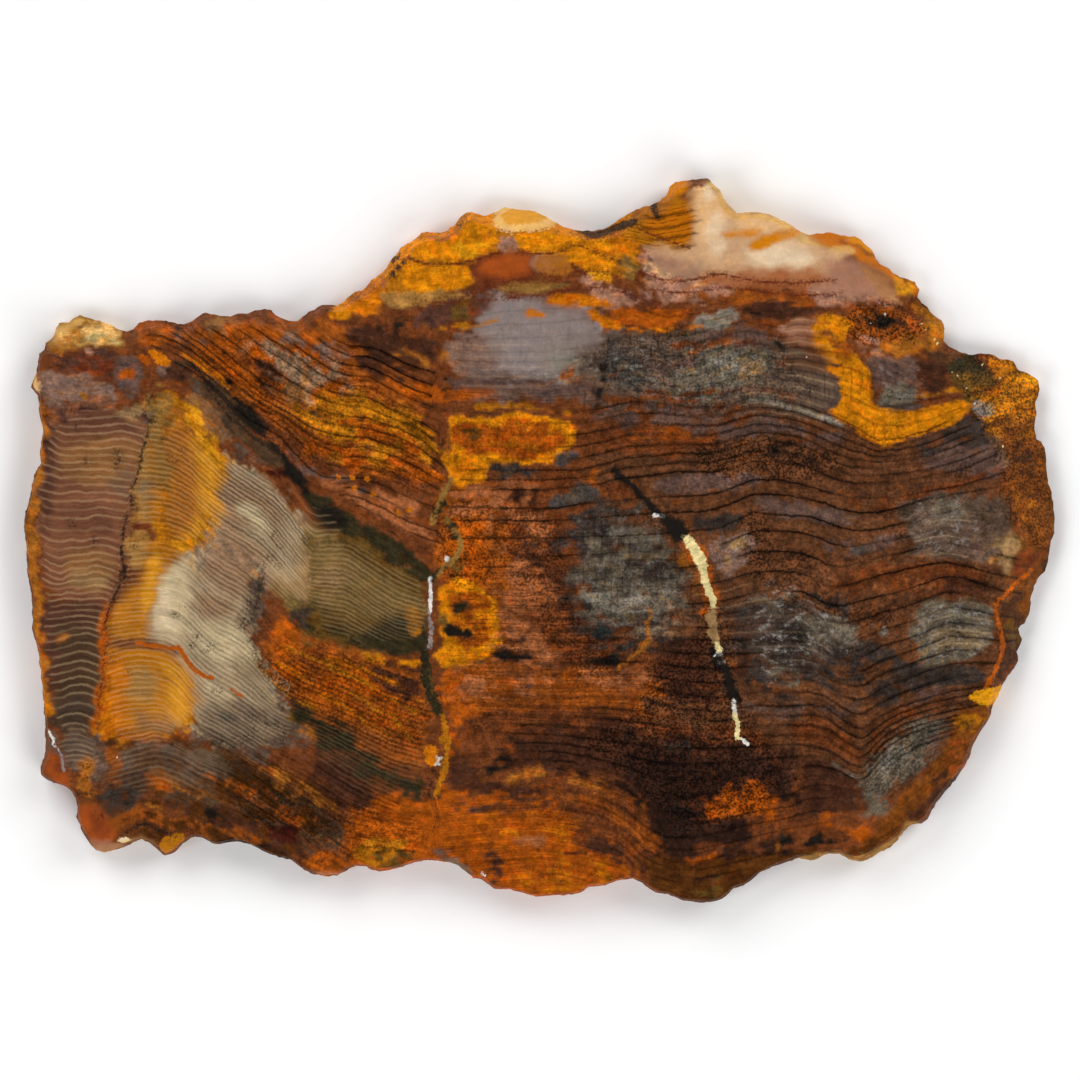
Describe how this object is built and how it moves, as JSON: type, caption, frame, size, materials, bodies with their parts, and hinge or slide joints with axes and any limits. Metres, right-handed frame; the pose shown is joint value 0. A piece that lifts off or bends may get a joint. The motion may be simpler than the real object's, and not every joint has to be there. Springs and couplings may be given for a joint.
{
  "type": "petrified wood slab",
  "caption": "Flat irregular slice of petrified wood with a polished, ringed face, a lumpy rind round its edge and a sawn back.",
  "frame": {"origin": "under the middle of the slab's box, on the plane of its sawn back", "axes": "+X along the slab's length, +Y across it towards the peak of its outline, +Z out of the polished face"},
  "size_m": [0.145, 0.102, 0.0064],
  "materials": {
    "petrified_wood": "polished face, rough rind, matt sawn back"
  },
  "bodies": {
    "root": {"slab": "petrified_wood"}
  },
  "joints": []
}
